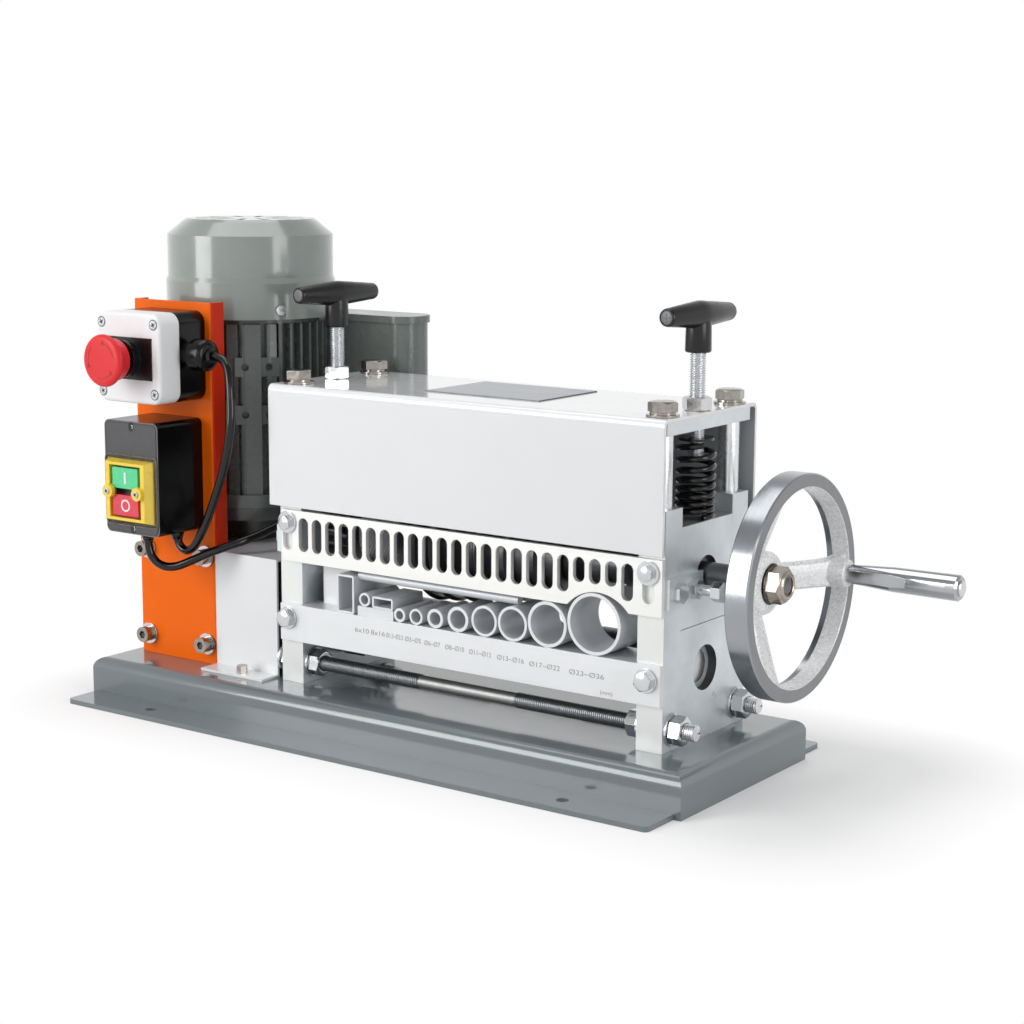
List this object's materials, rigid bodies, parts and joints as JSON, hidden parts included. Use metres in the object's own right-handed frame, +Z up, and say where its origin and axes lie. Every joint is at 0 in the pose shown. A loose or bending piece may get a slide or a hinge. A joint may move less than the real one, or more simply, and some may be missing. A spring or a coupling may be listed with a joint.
{
  "type": "wire stripping machine",
  "caption": "Bench wire stripping machine with a slotted roller head, guide channels, sprung press screws, a handwheel and a worm geared motor on a folded base.",
  "frame": {"origin": "middle of the base's four mounting holes, on the floor", "axes": "+X along the base from the motor to the handwheel, +Y to the back, +Z up"},
  "size_m": [0.7194, 0.2595, 0.3981],
  "materials": {
    "base_paint": "gloss",
    "motor_paint": "semi-gloss",
    "orange_paint": "semi-gloss",
    "white_enamel": "gloss",
    "plated_plate": "satin",
    "guide_steel": "satin",
    "tube_steel": "turned",
    "bolt_steel": "zinc plated",
    "shaft_steel": "ground",
    "gear_steel": "machined",
    "bush_bronze": "satin",
    "wheel_cast": "cast and turned",
    "handle_chrome": "polished",
    "label_sheet": "satin",
    "black_spring": "gloss",
    "black_plastic": "satin",
    "white_plastic": "satin",
    "red_plastic": "gloss",
    "yellow_plastic": "gloss",
    "green_plastic": "gloss",
    "lead_rubber": "gloss"
  },
  "bodies": {
    "frame": {"base_pan": "base_paint", "left_side_plate": "plated_plate", "right_side_plate": "plated_plate", "corner_posts": "bolt_steel", "top_plate": "plated_plate", "top_cover": "white_enamel", "cover_label_plate": "label_sheet", "cover_bolts_and_nuts": "bolt_steel", "upper_guide_plate": "guide_steel", "lower_guide_plate": "guide_steel", "guide_bolts_and_washers": "bolt_steel", "guide_tubes": "tube_steel", "tube_braces": "tube_steel", "gear_guard_sheet": "white_enamel", "tie_rods": "bolt_steel", "tie_rod_nuts_and_washers": "bolt_steel", "block_keepers_and_bolts": "bolt_steel", "lower_shaft_bushes": "bush_bronze", "reducer_housing": "motor_paint", "motor_frame": "motor_paint", "motor_cowl": "motor_paint", "terminal_box": "motor_paint", "coupling_guard": "white_enamel", "control_post": "orange_paint", "small_screws": "bolt_steel", "estop_rear_case": "black_plastic", "estop_cover": "white_plastic", "estop_legend_and_collar": "black_plastic", "cable_gland": "black_plastic", "switch_box": "black_plastic", "switch_bezel": "yellow_plastic", "estop_lead": "lead_rubber", "motor_lead": "lead_rubber"},
    "upper_carriage": {"bearing_blocks": "plated_plate", "left_spring": "black_spring", "right_spring": "black_spring"},
    "upper_roller_shaft": {"upper_shaft": "shaft_steel", "upper_cutter_rollers": "gear_steel", "knurled_feed_roller": "gear_steel", "upper_gear": "gear_steel", "handwheel": "wheel_cast", "handwheel_nut_and_spindle": "bolt_steel"},
    "handle": {"handle_sleeve": "handle_chrome"},
    "lower_roller_shaft": {"lower_shaft": "shaft_steel", "lower_feed_rollers": "gear_steel", "lower_gear": "gear_steel", "shaft_coupling": "gear_steel"},
    "rotor": {"motor_rotor": "black_plastic"},
    "left_collar": {"left_spring_collar": "black_spring"},
    "right_collar": {"right_spring_collar": "black_spring"},
    "left_screw": {"left_press_screw": "bolt_steel", "left_t_handle": "black_plastic"},
    "right_screw": {"right_press_screw": "bolt_steel", "right_t_handle": "black_plastic"},
    "stop_stem": {"estop_stem": "black_plastic"},
    "stop_head": {"estop_button": "red_plastic"},
    "green_push": {"green_button": "green_plastic"},
    "red_push": {"red_button": "red_plastic"}
  },
  "joints": [
    {"name": "carriage_lift", "type": "slide", "parent": "frame", "child": "upper_carriage", "axis": [0, 0, 1], "range_m": [0, 0.005], "deforming": ["left_spring", "right_spring"]},
    {"name": "upper_shaft_spin", "type": "hinge", "parent": "upper_carriage", "child": "upper_roller_shaft", "pos_m": [0.07, 0.0055, 0.153], "axis": [1, 0, 0], "continuous": true},
    {"name": "handle_spin", "type": "hinge", "parent": "upper_roller_shaft", "child": "handle", "pos_m": [0.3745, 0.0725, 0.153], "axis": [1, 0, 0], "continuous": true},
    {"name": "lower_shaft_spin", "type": "hinge", "parent": "frame", "child": "lower_roller_shaft", "pos_m": [0.07, 0.0055, 0.084], "axis": [1, 0, 0], "continuous": true},
    {"name": "motor_spin", "type": "hinge", "parent": "frame", "child": "rotor", "pos_m": [-0.228, 0.0455, 0.33], "axis": [0, 0, 1], "continuous": true},
    {"name": "left_screw_feed", "type": "slide", "parent": "frame", "child": "left_collar", "axis": [0, 0, -1], "range_m": [0, 0.0088], "deforming": ["left_spring"]},
    {"name": "left_handle_turn", "type": "hinge", "parent": "left_collar", "child": "left_screw", "pos_m": [-0.099, 0.0055, 0.3], "axis": [0, 0, -1], "range_deg": [0, 1800]},
    {"name": "right_screw_feed", "type": "slide", "parent": "frame", "child": "right_collar", "axis": [0, 0, -1], "range_m": [0, 0.0088], "deforming": ["right_spring"]},
    {"name": "right_handle_turn", "type": "hinge", "parent": "right_collar", "child": "right_screw", "pos_m": [0.2385, 0.0055, 0.3], "axis": [0, 0, -1], "range_deg": [0, 1800]},
    {"name": "stop_press", "type": "slide", "parent": "frame", "child": "stop_stem", "axis": [0, 1, 0], "range_m": [0, 0.004], "stiffness_N_per_m": 500},
    {"name": "stop_twist", "type": "hinge", "parent": "stop_stem", "child": "stop_head", "pos_m": [-0.228, -0.12, 0.29], "axis": [0, -1, 0], "range_deg": [0, 45], "stiffness_Nm_per_rad": 0.05},
    {"name": "green_press", "type": "slide", "parent": "frame", "child": "green_push", "axis": [0, 1, 0], "range_m": [0, 0.0025], "stiffness_N_per_m": 400},
    {"name": "red_press", "type": "slide", "parent": "frame", "child": "red_push", "axis": [0, 1, 0], "range_m": [0, 0.0025], "stiffness_N_per_m": 400}
  ],
  "couplings": [
    {"joint": "lower_shaft_spin", "follows": "upper_shaft_spin", "ratio": -1},
    {"joint": "motor_spin", "follows": "upper_shaft_spin", "ratio": 10},
    {"joint": "left_screw_feed", "follows": "left_handle_turn", "m_per_rad": 0.00027852},
    {"joint": "right_screw_feed", "follows": "right_handle_turn", "m_per_rad": 0.00027852}
  ]
}
